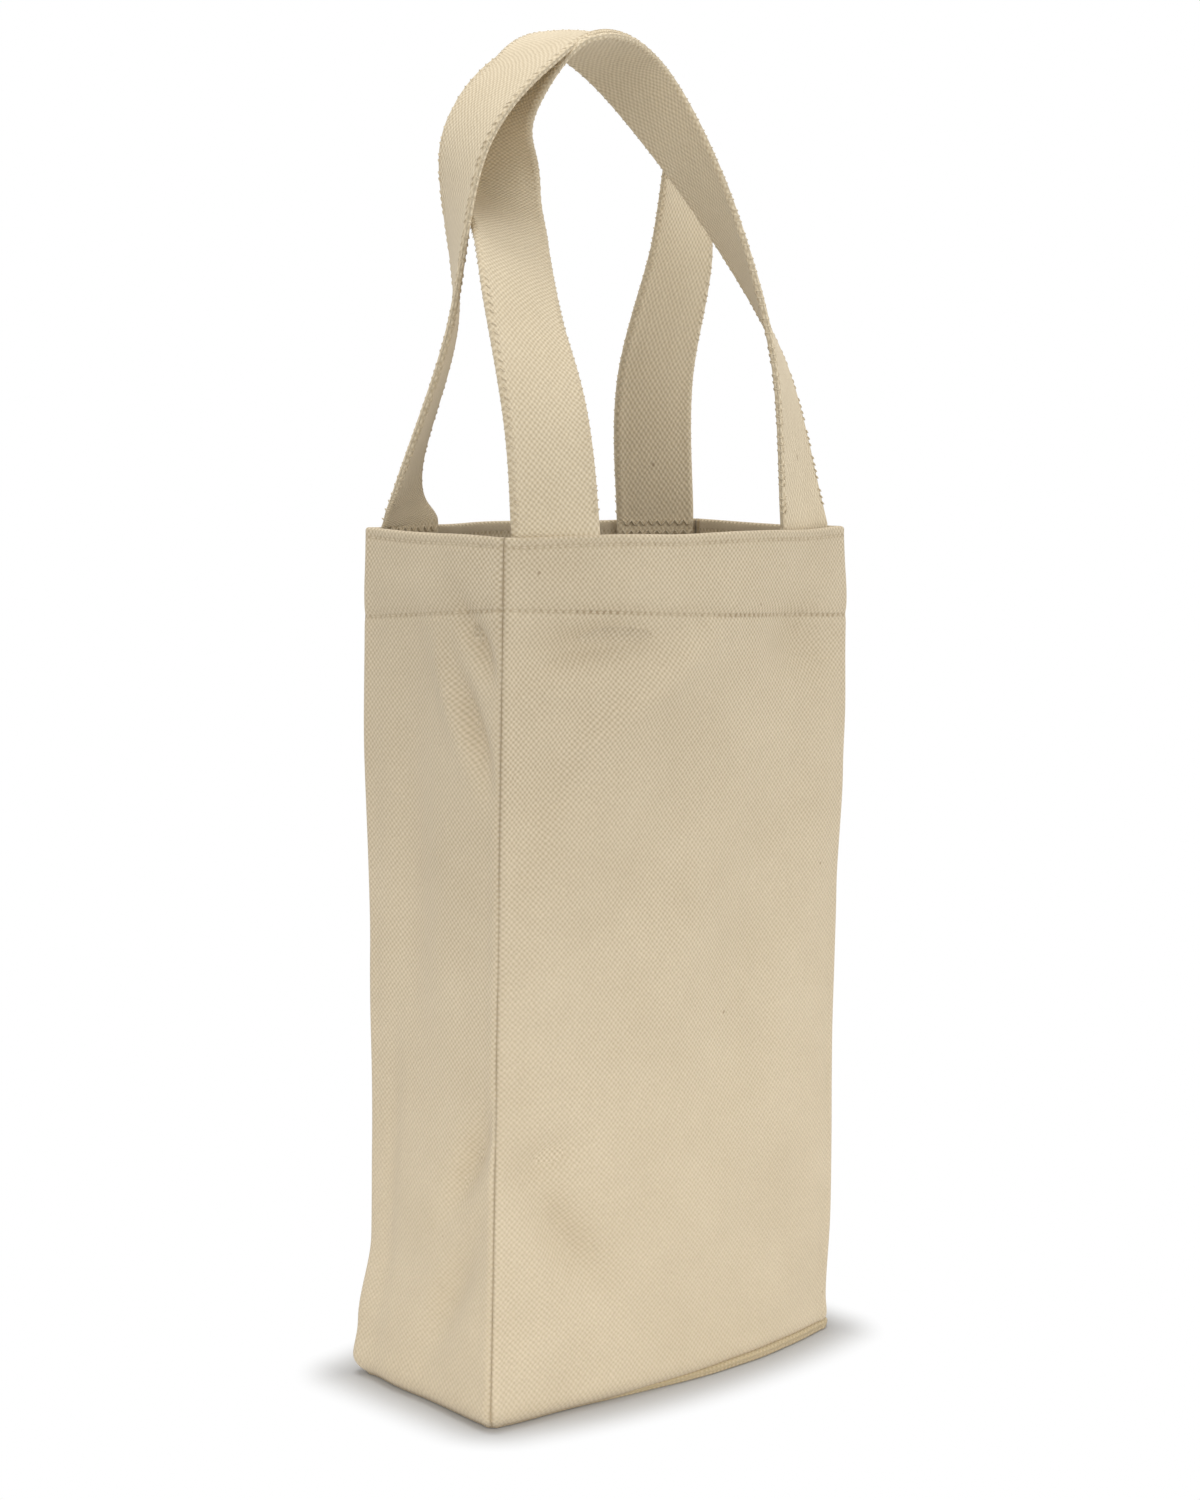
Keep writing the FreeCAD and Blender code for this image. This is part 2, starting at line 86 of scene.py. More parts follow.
def addTo(bm, part):
    mesh = bpy.data.meshes.new("part")
    part.to_mesh(mesh)
    part.free()
    bm.from_mesh(mesh)
    bpy.data.meshes.remove(mesh)


# a grid laid onto a surface in millimetres, with the cloth's own map and, where given, one of its seams
def laidGrid(columns, rows, place, cloth, seams=None):
    bm = bmesh.new()
    bmesh.ops.create_grid(bm, x_segments=columns, y_segments=rows, size=0.5)
    maps = [(bm.loops.layers.uv.new("cloth"), cloth)]
    if seams:
        maps.append((bm.loops.layers.uv.new("seams"), seams))
    flat = {}
    for vert in bm.verts:
        u = vert.co.x + 0.5
        v = vert.co.y + 0.5
        flat[vert] = [rule(u, v) for layer, rule in maps]
        vert.co = Vector(place(u, v)) * mm
    for face in bm.faces:
        for loop in face.loops:
            for (layer, rule), spot in zip(maps, flat[loop.vert]):
                loop[layer].uv = spot
    return bm


# shader maths

def plug(tree, value, socket):
    if isinstance(value, Wire):
        tree.links.new(value.socket, socket)
    else:
        socket.default_value = value


class Wire:
    def __init__(self, tree, socket):
        self.tree = tree
        self.socket = socket

    # another output of the same node
    def beside(self, output):
        return Wire(self.tree, self.socket.node.outputs[output])

    def worked(self, operation, *values):
        node = self.tree.nodes.new("ShaderNodeMath")
        node.operation = operation
        for value, socket in zip(values, node.inputs):
            plug(self.tree, value, socket)
        return Wire(self.tree, node.outputs[0])

    def maths(self, operation, *others):
        return self.worked(operation, self, *others)

    def __add__(self, other):
        return self.worked("ADD", self, other)

    def __radd__(self, other):
        return self.worked("ADD", other, self)

    def __sub__(self, other):
        return self.worked("SUBTRACT", self, other)

    def __rsub__(self, other):
        return self.worked("SUBTRACT", other, self)

    def __mul__(self, other):
        return self.worked("MULTIPLY", self, other)

    def __rmul__(self, other):
        return self.worked("MULTIPLY", other, self)


class Nodes:
    def __init__(self, tree):
        self.tree = tree

    # sockets go by name, with _ for a space, or by number, such as i6
    def node(self, kind, settings=None, output=0, **sockets):
        node = self.tree.nodes.new(kind)
        for key, value in (settings or {}).items():
            setattr(node, key, value)
        for key, value in sockets.items():
            numbered = key[0] == "i" and key[1:].isdigit()
            socket = node.inputs[int(key[1:])] if numbered else node.inputs[key.replace("_", " ")]
            plug(self.tree, value, socket)
        return Wire(self.tree, node.outputs[output])

    def ranged(self, value, start, end, first, last, settings=None):
        return self.node("ShaderNodeMapRange", settings, Value=value,
                         From_Min=start, From_Max=end, To_Min=first, To_Max=last)

    def speckle(self, place, scale, detail, **sockets):
        return self.node("ShaderNodeTexNoise", Vector=place, Scale=scale, Detail=detail, **sockets)

    # 1 for what the camera sees, straight or by way of gloss and glass
    def seen(self):
        camera = self.node("ShaderNodeLightPath", output="Is Camera Ray")
        gloss = camera.maths("MAXIMUM", camera.beside("Is Glossy Ray"))
        return gloss.maths("MAXIMUM", camera.beside("Is Transmission Ray"))


class Finish(Nodes):
    def __init__(self, name):
        self.material = bpy.data.materials.new(name)
        self.material.use_nodes = True
        super().__init__(self.material.node_tree)
        self.shader = self.tree.nodes["Principled BSDF"]

    def colours(self, share, first, second):
        return self.node("ShaderNodeMix", {"data_type": "RGBA"}, 2, i0=share, i6=first, i7=second)

    def feed(self, **sockets):
        for key, value in sockets.items():
            plug(self.tree, value, self.shader.inputs[key.replace("_", " ")])


# sizes of the bag and its sewing, in millimetres; a pair goes from the foot to the rim

bag = {
    "floor": 2.2, "height": 305.0, "halfWidth": (84.0, 81.0), "halfDepth": (38.0, 37.0), "bow": (10.0, 14.0),
    "gussetBow": 2.0, "length": {"front": 172.0, "right": 75.0, "back": 172.0, "left": 75.0},
    "cell": 1.75, "crowding": 0.75, "weld": 0.02,
    # rows up the outside, over the rim and down the inside: count, end height, end depth inwards
    "rows": (
        (12, 10, 0), (108, 265, 0), (33, 285, 0), (8, 298, 0), (9, 303.85, 0), (8, 303.85, 2.3),
        (14, 280, 2.3), (2, 280, 1.0), (26, 2.8, 1.0),
    ),
    # which of them folds over the rim, how high it rolls, and where the map of the inside starts
    "fold": 5, "rimRoll": 1.15, "insideMap": 620,
    # a corner drawn out of its plain place: where it stands, which way it goes, reach, how far at each height
    "drawn": (
        ((-84, -38), (-0.675, -0.738), 26, ((0, 5.5), (12, 5.5), (40, 3.0), (95, 0), (305, 0))),
        ((-84, 38), (0.738, -0.675), 34, (
            (0, -1.8), (4, -1.8), (20, 0.2), (52, 4.8), (85, 4.4), (155, 2.8), (240, -0.6), (305, -0.8))),
        ((84, -38), (0.738, -0.675), 30, (
            (0, -0.6), (10, -0.6), (50, 0.8), (110, 0.5), (170, 1.2), (215, 3.0), (240, 3.6), (275, 3.4),
            (305, 2.2))),
    ),
    # depth and size of the waves in the cloth
    "sag": (2.4, 55), "crinkle": (0.5, 21), "pucker": (0.8, 6.5), "rimWave": (0.8, 30),
    "tautFoot": 14, "tautCorner": 8, "puckerHem": (1.0, -3, 7), "puckerRim": (0.5, 0, 3),
    # height, place and width of what is pressed or puffed beside the sewing
    "hemPuff": (0.5, 9, 7), "hemCrease": (-0.8, 0.4, 1.8), "hemCorner": 0.3, "rimCrease": (-0.35, 0, 1.2),
    "seamPuff": (0.5, 2.6, 2.0), "seamCrease": (-0.9, 0, 0.9), "footPuff": (0.6, 7, 4),
    # the foot drops where the base is tucked under, and is drawn in: depth, place and width
    "footDrop": 1.9, "footDropEnds": (2, 16), "footRound": (2.6, 0, 4.2), "footTuck": (1.6, 0, 1.8),
    "cornerReach": 9, "cornerDraw": 0.41, "sunkEnds": (-60, 70), "sunkLean": 0.25,
    # how far the hem's lower edge sinks at the two ends of each side
    "hemSlant": {"front": (0.9, 9.0), "right": (9.0, 8.8), "back": (8.8, 8.0), "left": (8.0, 0.9)},
    # heights between which the slant and the rim's waves come in or end
    "slantFrom": (200, 250), "slantTo": (282, 301), "waveFrom": (270, 300),
    # side, place along it, height, half length, half height, depth, lean; all depths grow by dentDepth
    "dentDepth": 2.0,
    "dents": (
        ("front", -50, 268, 26, 8, 3.4, 1.2), ("front", -30, 246, 12, 22, -1.6, 1.4),
        ("front", -66, 222, 10, 26, 2.0, 0.6), ("front", -60, 66, 9, 20, 3.2, -0.6),
        ("front", -66, 92, 12, 8, 2.2, 0.8), ("front", -22, 190, 26, 44, 2.0, 0.6),
        ("front", 34, 170, 30, 70, 2.0, 0.2), ("front", 58, 264, 20, 12, 2.4, -0.6),
        ("front", 20, 80, 40, 30, -1.4, 0.1), ("left", 27, 268, 5, 12, 3.0, -0.6),
        ("left", 24, 240, 5, 18, 3.2, -0.45), ("left", 12, 252, 6, 24, -1.4, -0.4),
        ("left", -24, 70, 5, 62, 0.8, 0.03), ("left", 26, 92, 7, 20, 3.0, 0.5),
        ("left", 16, 42, 8, 22, 2.6, 0.45), ("left", -10, 190, 12, 60, 2.0, 0.0),
        ("back", 20, 150, 30, 60, 2.2, 0.2), ("right", 8, 140, 10, 60, 2.2, 0.1),
        ("back", -40, 60, 20, 40, 2.2, -0.3), ("back", 50, 258, 22, 10, 2.6, -0.6),
        ("right", -22, 250, 6, 20, 2.6, 0.4), ("back", -56, 262, 22, 10, 2.4, 0.7),
        ("right", 20, 70, 7, 24, 2.4, -0.4),
    ),
}
# stitches: half length and half thickness; what is sunk lies that deep in the cloth
sewing = {
    "batch": 24, "sphere": (8, 5),
    "hemDrops": (3.4, 23.4), "hemDepth": (0.85, 1.4), "hemPitch": 2.9, "hemStitch": (1.0, 0.3),
    "hemSunk": 0.06, "hemEnd": 4,
    "seamPitch": 3.0, "seamStitch": (0.85, 0.24), "seamSunk": 0.55, "seamEnds": (4, 3), "seamInset": 0.5,
    "basePitch": 3.0, "baseStitch": (0.9, 0.3), "baseSunk": 1.3, "baseLevel": 7, "baseEnd": 8,
    "tackDrops": (1.2, 5.0), "tackCount": 16, "tackStart": -14.2, "tackPitch": 1.9, "tackStitch": (1.6, 0.42),
    "tackSlant": (0.62, 0.78), "tackProud": 0.2,
    "edgePitch": 3.1, "edgeStitch": (1.25, 0.3), "edgeInset": 0.12, "edgeSlant": (0.85, 0.5),
    "faceStitch": (1.2, 0.3), "faceInset": 1.5, "faceProud": 0.02, "faceSlant": (0.8, 0.6),
}


# cloth finishes

clothLook = {
    "canvas": {"light": (0.715, 0.612, 0.45, 1), "shade": (0.41, 0.325, 0.205, 1), "bump": 0.6},
    # strap: the same cloth as the canvas made lighter, painted light for the extra light that reaches the
    # thin straps
    "strap": {"light": (0.79, 0.685, 0.505, 1), "shade": (0.47, 0.372, 0.232, 1), "bump": 0.6},
    # base: the same cloth as the canvas made darker and yellower, painted shade for its edge lying in shade
    # under the bag
    "base": {"light": (0.54, 0.44, 0.28, 1), "shade": (0.38, 0.295, 0.165, 1), "bump": 0.5},
    "thread": {"light": (0.68, 0.59, 0.44, 1), "shade": (0.52, 0.43, 0.29, 1)},
    # seam: dark colour for the corner seams and for the painted shade along the hem rows and at the foot
    "seam": (0.30, 0.215, 0.115, 1), "speck": (0.22, 0.14, 0.07, 1), "pitch": 2.0, "bumpDepth": 0.4,
}


# how dark the corner seams are, with painted shade along the hem's stitch rows, darkest at the stitches where
# the needle holes dimple the cloth, and painted shade in the seam at the foot
def seamsAndPaintedShade(cloth, uv, u):
    edge = cloth.node("ShaderNodeSeparateXYZ", Vector=cloth.node("ShaderNodeUVMap", {"uv_map": "seams"}))
    level = edge.beside(1)
    seam = cloth.ranged(edge, 0.0, 0.9 * mm, 0.68, 0.0)
    # painted shade: a dark line at the foot of the shell, where the base tucks under
    foot = cloth.ranged(level, 2.4 * mm, 3.6 * mm, 0.6, 0.0)
    # painted shade along each hem stitch row: a dark line, darkest in dots at the stitches, uneven along the
    # row
    stitchShadeDots = (u * (2 * math.pi / (sewing["hemPitch"] * mm))).maths("COSINE") * -0.5 + 0.5
    unevenRowShade = cloth.ranged(cloth.speckle(uv, 30.0, 1.0), 0.38, 0.62, 0.45, 1.0)
    dark = seam.maths("MAXIMUM", foot)
    for drop, depth in zip(sewing["hemDrops"], sewing["hemDepth"]):
        gap = (level - (bag["height"] - drop) * mm).maths("ABSOLUTE")
        row = cloth.ranged(gap, 0.2 * mm, 1.0 * mm, depth, 0.0)
        dark = dark.maths("MAXIMUM", row * (stitchShadeDots * 0.75 + 0.15) * unevenRowShade * 0.62)
    return dark


def clothFinish(name, sewnEdges=False):
    look = clothLook[name]
    cloth = Finish(name + ("_sewn" if sewnEdges else "_cloth"))
    uv = cloth.node("ShaderNodeUVMap", {"uv_map": "cloth"})
    u = cloth.node("ShaderNodeSeparateXYZ", Vector=uv)
    v = u.beside(1)
    slub = cloth.speckle(uv, 120.0, 2.0)                  # uneven yarn
    stray = cloth.speckle(uv, 330.0, 1.0)                 # threads that wander
    turn = 2 * math.pi / (clothLook["pitch"] * mm)
    warp = (u * turn + slub * 3.0 + stray * 2.2).maths("SINE")
    weft = (v * turn + slub * 3.0 - stray * 2.2).maths("SINE")
    weave = warp * weft * 0.5 + 0.5                       # over and under, like a plain weave
    blotch = cloth.speckle(uv, 24.0, 4.0, Roughness=0.6)
    yarn = cloth.speckle(uv, 1100.0, 2.0)
    crisp = cloth.ranged(cloth.speckle(uv, 11.0, 1.0), 0.35, 0.65, 0.6, 0.8)
    if sewnEdges:                                         # pressed flatter towards the foot
        crisp = crisp * cloth.ranged(v, 0.06, 0.29, 0.5, 1.1)
    tone = weave * crisp + blotch * 0.34 + yarn * 0.30 + (0.20 - crisp * 0.5)
    colour = cloth.colours(tone.maths("MINIMUM", 1.0).maths("MAXIMUM", 0.0), look["shade"], look["light"])
    fleck = cloth.node("ShaderNodeTexVoronoi", Vector=uv, Scale=70.0, Randomness=1.0)
    rare = cloth.ranged(cloth.speckle(uv, 40.0, 0.0), 0.62, 0.65, 0.0, 0.5)
    colour = cloth.colours(cloth.ranged(fleck, 0.025, 0.06, 1.0, 0.0) * rare, colour, clothLook["speck"])
    height = weave + slub * 0.3 + yarn * 0.25
    if sewnEdges:
        # darkens the corner seams and paints shade along the hem rows and at the foot
        dark = seamsAndPaintedShade(cloth, uv, u)
        colour = cloth.colours(dark, colour, clothLook["seam"])
        height = height - dark * 2.5
    depth = clothLook["bumpDepth"] * mm
    bump = cloth.node("ShaderNodeBump", Strength=look["bump"], Distance=depth, Height=height)
    cloth.feed(Base_Color=colour, Roughness=0.92 - blotch * 0.08, Normal=bump)
    cloth.feed(Specular_IOR_Level=0.2, Sheen_Weight=0.1, Sheen_Roughness=0.6)
    return cloth.material


def threadFinish():
    look = clothLook["thread"]
    thread = Finish("sewing_thread")
    twist = thread.speckle(thread.node("ShaderNodeTexCoord", output="Object"), 1400.0, 1.0)
    thread.feed(Base_Color=thread.colours(twist, look["shade"], look["light"]))
    thread.feed(Roughness=0.7, Specular_IOR_Level=0.25)
    return thread.material


canvas = clothFinish("canvas")
sewnCanvas = clothFinish("canvas", sewnEdges=True)
# the strap cloth is painted lighter and the base cloth darker, for the light and shade on them
strapClothPaintedLighter = clothFinish("strap")
baseClothPaintedDarker = clothFinish("base")
thread = threadFinish()
print("finishes ready")


# the bag: one lofted shell, hemmed over its rim

sideTurn = {"front": 0, "right": 1, "back": 2, "left": 3}


def rise(z):
    return (z - bag["floor"]) / (bag["height"] - bag["floor"])


# outer face of one side in millimetres; along runs from -1 to 1, anticlockwise seen from above
def sidePoint(side, along, z):
    share = rise(z)
    half, chord, bow = (mixed(*bag[key], share) for key in ("halfWidth", "halfDepth", "bow"))
    belly = 1 - along * along
    if side == "front":
        return Vector((half * along, -chord - bow * belly, z))
    if side == "back":
        return Vector((-half * along, chord + bow * belly, z))
    if side == "right":
        return Vector((half + bag["gussetBow"] * belly, chord * along, z))
    return Vector((-half - bag["gussetBow"] * belly, -chord * along, z))


def sideOut(side, along, z):
    ahead = sidePoint(side, along + 0.01, z) - sidePoint(side, along - 0.01, z)
    return Vector((ahead.y, -ahead.x, 0)).normalized()


def drawnOut(rows, z):
    for (low, a), (high, b) in zip(rows, rows[1:]):
        if z <= high:
            return mixed(a, b, eased(low, high, z))
    return rows[-1][1]


# 1 where the foot of the bag sinks to the floor, at the left and the front left, and 0 at the right
def sunk(x, y):
    return 1 - eased(*bag["sunkEnds"], x - bag["sunkLean"] * y)


def hemSink(side, along):
    return mixed(*bag["hemSlant"][side], (along + 1) / 2)


# how far the cloth stands off its plain shape, in millimetres
def clothLift(side, along, z, sink):
    half = bag["length"][side] / 2
    run = along * half
    seed = sideTurn[side] + 1
    free = 1 - abs(along) ** bag["tautCorner"]
    sag, sagSize = bag["sag"]
    crinkle, crinkleSize = bag["crinkle"]
    pucker, puckerSize = bag["pucker"]
    lift = sag * ripple(run, z * 0.7, sagSize, seed) * (1 - hump(z, 0, bag["tautFoot"]))
    lift += crinkle * ripple(run, z, crinkleSize, seed + 5)
    for place, x, level, wide, tall, depth, lean in bag["dents"]:
        if place == side:
            across = (run - x) - lean * (z - level)
            lift -= bag["dentDepth"] * depth * hump(across, 0, wide) * hump(z, level, tall)
    overHem = z - (bag["height"] - sewing["hemDrops"][1] - sink)
    overRim = z - (bag["height"] - sewing["hemDrops"][0])
    gathered = swell(overHem, bag["puckerHem"]) + swell(overRim, bag["puckerRim"])
    lift += pucker * ripple(run, 0, puckerSize, seed + 9) * gathered
    lift *= free
    pressed = swell(overHem, bag["hemPuff"]) + swell(overHem, bag["hemCrease"])
    lift += pressed * mixed(bag["hemCorner"], 1, free)
    lift += swell(overRim, bag["rimCrease"]) * free
    edge = half * (1 - abs(along))
    lift += swell(edge, bag["seamPuff"]) + swell(edge, bag["seamCrease"])
    return lift + swell(z, bag["footPuff"])


def bagPoint(side, along, z, inward=0.0):
    point = sidePoint(side, along, z)
    out = sideOut(side, along, z)
    corner = abs(along) > 0.9995
    if corner:                                              # both sides share the corner's own direction
        out = Vector((math.copysign(1, point.x), math.copysign(1, point.y), 0)).normalized()
    lift = clothLift("front" if corner else side, along, z, hemSink(side, along))
    point = point + out * (lift - inward)
    for (x, y), (goX, goY), reach, rows in bag["drawn"]:
        near = hump(math.hypot(point.x - x, point.y - y), 0, reach)
        point = point + Vector((goX, goY, 0)) * drawnOut(rows, z) * near
    foot = sunk(point.x, point.y)
    edge = bag["length"][side] / 2 * (1 - abs(along))
    turn = hump(edge, 0, bag["cornerReach"])                # 1 at a corner, where two sides are drawn in
    slant = Vector((math.copysign(1, point.x), math.copysign(1, point.y), 0)).normalized()
    drawnIn = mixed(out, slant, turn) * (1 + bag["cornerDraw"] * turn)
    above = z - bag["floor"]
    point = point - drawnIn * (foot * swell(above, bag["footRound"]) + swell(above, bag["footTuck"]))
    point.z -= bag["footDrop"] * foot * (1 - eased(*bag["footDropEnds"], z))
    wave, waveSize = bag["rimWave"]
    point.z += wave * ripple(point.x, point.y, waveSize, 41) * eased(*bag["waveFrom"], z)
    return point


# height and depth inwards of a row, and whether it lies outside (-1), on the fold (0) or inside (1)
def shellRow(v):
    rows = bag["rows"]
    row = v * sum(count for count, height, depth in rows)
    low = bag["floor"]
    inward = 0.0
    for place, (count, height, depth) in enumerate(rows):
        if row <= count + 1e-6:
            share = row / count
            if place == bag["fold"]:
                roll = bag["rimRoll"] * math.sin(math.pi * share)
                return (height + roll, depth * (1 - math.cos(math.pi * share)) / 2, 0)
            return (mixed(low, height, share), mixed(inward, depth, share), -1 if place < bag["fold"] else 1)
        row -= count
        low = height
        inward = depth
    return (low, inward, 1)


def crowded(u):
    t = 2 * u - 1
    return (1 - bag["crowding"]) * t + bag["crowding"] * math.sin(math.pi * t / 2)


def sideGrid(side):
    length = bag["length"][side]
    start = sideTurn[side] * 100 * sewing["hemPitch"]       # whole stitches, so that the painted shade dots of the hem rows meet the thread
    foldTop = bag["rows"][bag["fold"]][1]
    hemEnd = bag["rows"][bag["fold"] + 1][1]

    def place(u, v):
        z, inward, inside = shellRow(v)
        along = crowded(u)
        if inside > 0:                                      # the fold inside sinks with the row that holds it
            z -= hemSink(side, along) * min((foldTop - z) / (foldTop - hemEnd), z / hemEnd)
        return bagPoint(side, along, z, inward)

    def cloth(u, v):
        z, inward, inside = shellRow(v)
        return ((start + crowded(u) * length / 2) * mm, (z if inside <= 0 else bag["insideMap"] - z) * mm)

    def seams(u, v):
        z, inward, inside = shellRow(v)
        along = crowded(u)
        sink = hemSink(side, along) * eased(*bag["slantFrom"], z) * (1 - eased(*bag["slantTo"], z))
        return (length / 2 * (1 - abs(along)) * mm, (z + sink) * mm)

    rows = sum(row[0] for row in bag["rows"])
    return laidGrid(round(length / bag["cell"]), rows, place, cloth, seams)


def makeBag():
    bm = bmesh.new()
    for side in sideTurn:
        addTo(bm, sideGrid(side))
    bmesh.ops.remove_doubles(bm, verts=bm.verts, dist=bag["weld"] * mm)
    bmesh.ops.recalc_face_normals(bm, faces=bm.faces)
    shell = finishMesh("bag_shell", bm, sewnCanvas)
    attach(shell, "bag")
    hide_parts("front_panel", "back_panel", "left_gusset", "right_gusset")
    return shell


shell = makeBag()
print("bag shell", len(shell.data.polygons), "faces")


# the base: a flat panel with a soft rolled edge; a pair goes from where the foot sinks to where it stands

base = {
    "roll": (0.6, 1.9), "overhang": (-0.9, 3.6), "rings": 22, "around": 280,
    "edgeRows": (0.45, 0.75), "lift": 0.05, "cornerStop": 0.96, "upperMap": (0.6, 0.4),
}


def baseEdge(turn):
    run = (turn % 1.0) * sum(bag["length"].values())
    for side, length in bag["length"].items():
        if run <= length:
            along = 2 * run / length - 1
            stop = base["cornerStop"]
            point = bagPoint(side, max(-stop, min(stop, along)), bag["floor"])
            return Vector((point.x, point.y, 0))
        run -= length


def makeBase():
    under, over = base["edgeRows"]

    def place(u, v):
        edge = baseEdge(u)
        stands = 1 - sunk(edge.x, edge.y)
        roll = mixed(*base["roll"], stands)
        overhang = mixed(*base["overhang"], stands)
        grow = 1 + (overhang - roll) / edge.length
        if v < under:
            return edge * (v / under * grow) + Vector((0, 0, base["lift"]))
        if v <= over:                                        # round the edge, from the underside to the seam
            turn = math.pi * (v - under) / (over - under)
            up = base["lift"] + roll * (1 - math.cos(turn))
            return edge * (grow + roll * math.sin(turn) / edge.length) + Vector((0, 0, up))
        share = (v - over) / (1 - over)
        return edge * (grow * (1 - share)) + Vector((0, 0, 2 * roll + base["lift"]))

    def cloth(u, v):
        point = place(u, v)
        split, shift = base["upperMap"]
        return (point.x * mm, point.y * mm + (shift if v > split else 0))

    bm = laidGrid(base["around"], base["rings"], place, cloth)
    bmesh.ops.remove_doubles(bm, verts=bm.verts, dist=bag["weld"] * mm)
    bmesh.ops.recalc_face_normals(bm, faces=bm.faces)
    panel = finishMesh("base_cloth", bm, baseClothPaintedDarker)
    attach(panel, "bag")
    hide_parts("base_panel")


makeBase()
print("base panel")


# the divider hangs across the middle from the hem

divider = {
    "foot": 10.2, "top": 283.0, "dip": 34.0, "inset": 2.4, "billow": 1.6, "billowSize": 70, "halfWidth": 40,
    "columns": 36, "rows": 90, "map": (0.095, 0.26),
}


def makeDivider():
    def place(u, v):
        across = 2 * u - 1
        top = divider["top"] - divider["dip"] * (1 - across * across)
        z = mixed(divider["foot"], top, v)
        near, far = (bagPoint(side, 0, z, divider["inset"]).y for side in ("front", "back"))
        wave = ripple(across * divider["halfWidth"], z, divider["billowSize"], 31)
        return Vector((divider["billow"] * wave * (1 - across ** 4), mixed(near, far, u), z))

    def cloth(u, v):
        return (u * divider["map"][0], v * divider["map"][1])

    bm = laidGrid(divider["columns"], divider["rows"], place, cloth)
    piece = finishMesh("divider_cloth", bm, canvas)
    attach(piece, "bag")
    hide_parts("divider")


makeDivider()
print("divider")


# handles: flat self-fabric straps, sewn inside the hem

strap = {
    "width": 33.0, "ply": 2.2, "length": 430.0, "tail": 22.3, "tailSteps": 14, "spacing": 60.0, "foot": 39.8,
    "lift": 305.3, "rise": 170.0, "turn": 14.5, "steps": 26, "around": 48,
    # how square the section is across and through, and the rolled edge and the channel beside it
    "square": (0.22, 0.45), "roll": (0.22, 1.6, 1.3), "channel": (-0.16, 5.2, 1.6), "hemCup": 0.57,
    "cupEnds": (300, 330), "wave": 0.4, "waveSize": 30, "waveFrom": (306, 325), "waveTo": (440, 460),
    "seeds": {"front": 11, "back": 23},
    # place along, lean inwards, height, turn and tilt of the width, after the outlines in the photograph
    "front": (
        (-1.07, 0.04, 0.232, 172, -3), (-1.01, 0.44, 0.437, 176, 10), (-0.82, 0.97, 0.589, 173, 14),
        (-0.70, 1.40, 0.690, 146, 2), (-0.74, 1.30, 0.848, 104, 16), (-0.37, 1.08, 0.986, 88, 0),
        (0.25, 1.22, 0.940, 90, -14), (0.66, 0.77, 0.685, 65, -14), (0.87, 0.21, 0.360, 38, -2),
    ),
    "back": (
        (-1.02, 0.04, 0.100, 37, 9), (-0.98, 0.56, 0.414, 46, 12), (-1.03, 0.79, 0.765, 79, 5),
        (-0.60, 0.90, 0.952, 98, -2), (0.02, 0.50, 1.024, 105, 3), (0.51, 0.46, 0.998, 79, 20),
        (0.85, 0.44, 0.850, 39, 16), (0.92, 0.45, 0.604, 4, 2), (0.91, 0.12, 0.302, -12, 0),
    ),
}
outward = {"front": -1, "back": 1}


# a smooth curve through rows of numbers
def between(rows, place):
    whole = min(int(place), len(rows) - 2)
    t = place - whole
    a = rows[whole - 1] if whole else [2 * p - q for p, q in zip(rows[0], rows[1])]
    b = rows[whole]
    c = rows[whole + 1]
    d = rows[whole + 2] if whole + 2 < len(rows) else [2 * p - q for p, q in zip(rows[-1], rows[-2])]
    return [
        0.5 * (2 * q + (r - p) * t + (2 * p - 5 * q + 4 * r - s) * t * t + (3 * q - p - 3 * r + s) * t ** 3)
        for p, q, r, s in zip(a, b, c, d)
    ]


# centre and width direction of a strap at one row
def station(name, row):
    across, lean, up, turn, tilt = row
    a = math.radians(turn)
    t = math.radians(tilt)
    y = outward[name] * strap["foot"] * (1 - lean)
    centre = Vector((across * strap["spacing"], y, strap["lift"] + up * strap["rise"]))
    return centre, Vector((math.cos(a) * math.cos(t), math.sin(a) * math.cos(t), math.sin(t)))


# centre, run, width and face directions, from the lower end of the left tail to that of the right
def strapPath(name):
    turn = strap["turn"]
    leftTurn, rightTurn = (180 - turn, turn) if name == "front" else (turn, -turn)
    rows = [(-1, 0, 0, leftTurn, 0), *strap[name], (1, 0, 0, rightTurn, 0)]
    steps = range(strap["steps"] * (len(rows) - 1) + 1)
    loop = [station(name, between(rows, step / strap["steps"])) for step in steps]
    drops = [Vector((0, 0, strap["tail"] * n / strap["tailSteps"])) for n in range(1, strap["tailSteps"] + 1)]
    leftTail, rightTail = ([(centre - drop, wide) for drop in drops] for centre, wide in (loop[0], loop[-1]))
    found = leftTail[::-1] + loop + rightTail
    path = []
    for n, (centre, wide) in enumerate(found):
        ahead = found[min(n + 1, len(found) - 1)][0] - found[max(n - 1, 0)][0]
        ahead.normalize()
        wide = (wide - ahead * wide.dot(ahead)).normalized()
        path.append((centre, ahead, wide, ahead.cross(wide).normalized()))
    return path


# place across and height of a flat section with rounded, rolled edges
def strapSection(turn):
    half = strap["width"] / 2
    squareAcross, squareThrough = strap["square"]
    x = math.cos(2 * math.pi * turn)
    z = math.sin(2 * math.pi * turn)
    across = half * math.copysign(abs(x) ** squareAcross, x)
    thick = strap["ply"] / 2 * math.copysign(abs(z) ** squareThrough, z)
    edge = half - abs(across)
    return across, thick * (1 + swell(edge, strap["roll"]) + swell(edge, strap["channel"]))


# how far a sewn end bends with the bow of the hem
def hemCup(across):
    return (across / (strap["width"] / 2)) ** 2 * strap["hemCup"]


